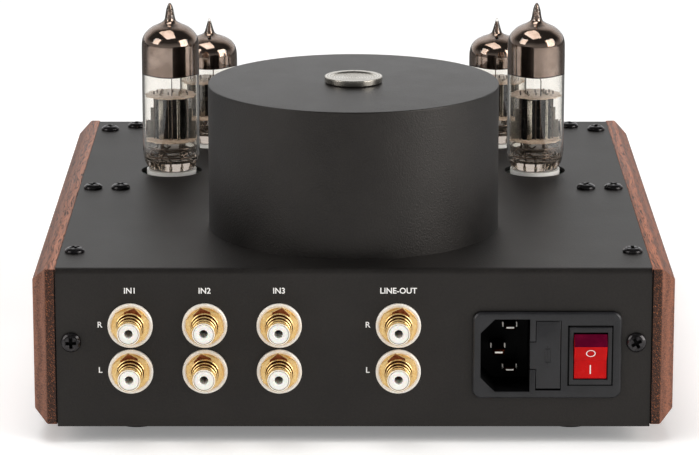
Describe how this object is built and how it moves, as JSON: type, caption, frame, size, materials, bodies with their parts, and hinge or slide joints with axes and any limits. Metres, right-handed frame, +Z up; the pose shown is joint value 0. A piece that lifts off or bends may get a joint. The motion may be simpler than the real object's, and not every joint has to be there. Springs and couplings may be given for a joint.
{
  "type": "tube amplifier",
  "caption": "Valve headphone amplifier: a flat steel case between wooden cheeks, plug-in valves and a drum-shaped transformer cover on top, phono sockets and a mains inlet behind.",
  "frame": {"origin": "on the floor under the feet, half-way along the whole length and across the whole width", "axes": "+Z up, +Y towards the rear panel with the sockets, +X to the right of someone facing the front panel"},
  "size_m": [0.216, 0.265, 0.1244],
  "materials": {
    "powder_coat": "fine-textured black powder coat",
    "cover_paint": "fine-textured black powder coat",
    "oiled_wood": "oiled reddish hardwood",
    "foot_rubber": "matt black rubber",
    "winding_tape": "polyester tape over the windings",
    "pad_rubber": "black neoprene",
    "zinc_steel": "zinc-plated steel",
    "black_steel": "black-finished steel",
    "turned_nickel": "turned and nickel-plated",
    "gold_plate": "bright gold plate",
    "white_ptfe": "white PTFE",
    "black_nylon": "moulded black nylon",
    "nickel_blade": "nickel-plated brass",
    "fuse_glass": "clear glass with nickel ends",
    "red_rocker": "translucent red polycarbonate, glossy",
    "circuit_board": "green solder mask",
    "steatite": "unglazed white ceramic",
    "capacitor_sleeve": "shrink sleeve",
    "capacitor_film": "dipped film capacitor",
    "turned_aluminium": "turned and anodised",
    "lamp_lens": "amber lens",
    "valve_glass": "clear blown glass",
    "nickel_wire": "bright nickel wire",
    "anode_nickel": "carbonised nickel",
    "mica": "punched mica"
  },
  "bodies": {
    "chassis": {"base_tray": "powder_coat", "board_standoffs": "zinc_steel", "cap_screw": "turned_nickel", "cheek_left": "oiled_wood", "cheek_right": "oiled_wood", "clamp_nut": "zinc_steel", "clamp_stud": "zinc_steel", "clamp_washer": "zinc_steel", "control_nuts": "black_steel", "feet": "foot_rubber", "film_capacitors": "capacitor_film", "filter_capacitors": "capacitor_sleeve", "headphone_jack": "black_nylon", "inlet_blades": "nickel_blade", "mains_module": "black_nylon", "phono_inserts": "white_ptfe", "phono_nuts": "gold_plate", "phono_shells": "gold_plate", "pilot_lamp": "lamp_lens", "selector_switch": "zinc_steel", "supply_board": "circuit_board", "supply_legs": "zinc_steel", "switch_frame": "black_nylon", "top_shell": "powder_coat", "toroid": "winding_tape", "toroid_pads": "pad_rubber", "transformer_cover": "cover_paint", "valve_board": "circuit_board", "valve_sockets": "steatite", "volume_pot": "zinc_steel"},
    "volume_knob": {"volume_knob": "turned_aluminium", "volume_shaft": "zinc_steel"},
    "source_selector": {"selector_knob": "turned_aluminium", "selector_shaft": "zinc_steel"},
    "power_rocker": {"rocker": "red_rocker"},
    "fuse_drawer": {"fuse_drawer": "black_nylon", "fuse": "fuse_glass"},
    "tall_left_valve": {"tall_left_glass": "valve_glass", "tall_left_wires": "nickel_wire", "tall_left_plates": "anode_nickel", "tall_left_spacers": "mica"},
    "tall_right_valve": {"tall_right_glass": "valve_glass", "tall_right_wires": "nickel_wire", "tall_right_plates": "anode_nickel", "tall_right_spacers": "mica"},
    "short_left_valve": {"short_left_glass": "valve_glass", "short_left_wires": "nickel_wire", "short_left_plates": "anode_nickel", "short_left_spacers": "mica"},
    "short_right_valve": {"short_right_glass": "valve_glass", "short_right_wires": "nickel_wire", "short_right_plates": "anode_nickel", "short_right_spacers": "mica"}
  },
  "joints": [
    {"name": "volume", "type": "hinge", "parent": "chassis", "child": "volume_knob", "pos_m": [0.058, -0.1235, 0.0335], "axis": [0, 1, 0], "range_deg": [-150, 150]},
    {"name": "source", "type": "hinge", "parent": "chassis", "child": "source_selector", "pos_m": [-0.014, -0.1235, 0.0335], "axis": [0, 1, 0], "range_deg": [-30, 30]},
    {"name": "power", "type": "hinge", "parent": "chassis", "child": "power_rocker", "pos_m": [-0.07955, 0.1167, 0.0313], "axis": [1, 0, 0], "range_deg": [0, 30]},
    {"name": "fuse_pull", "type": "slide", "parent": "chassis", "child": "fuse_drawer", "axis": [0, 1, 0], "range_m": [0, 0.02]},
    {"name": "tall_left_pull", "type": "slide", "parent": "chassis", "child": "tall_left_valve", "axis": [0, 0, 1], "range_m": [0, 0.015]},
    {"name": "tall_right_pull", "type": "slide", "parent": "chassis", "child": "tall_right_valve", "axis": [0, 0, 1], "range_m": [0, 0.015]},
    {"name": "short_left_pull", "type": "slide", "parent": "chassis", "child": "short_left_valve", "axis": [0, 0, 1], "range_m": [0, 0.015]},
    {"name": "short_right_pull", "type": "slide", "parent": "chassis", "child": "short_right_valve", "axis": [0, 0, 1], "range_m": [0, 0.015]}
  ]
}
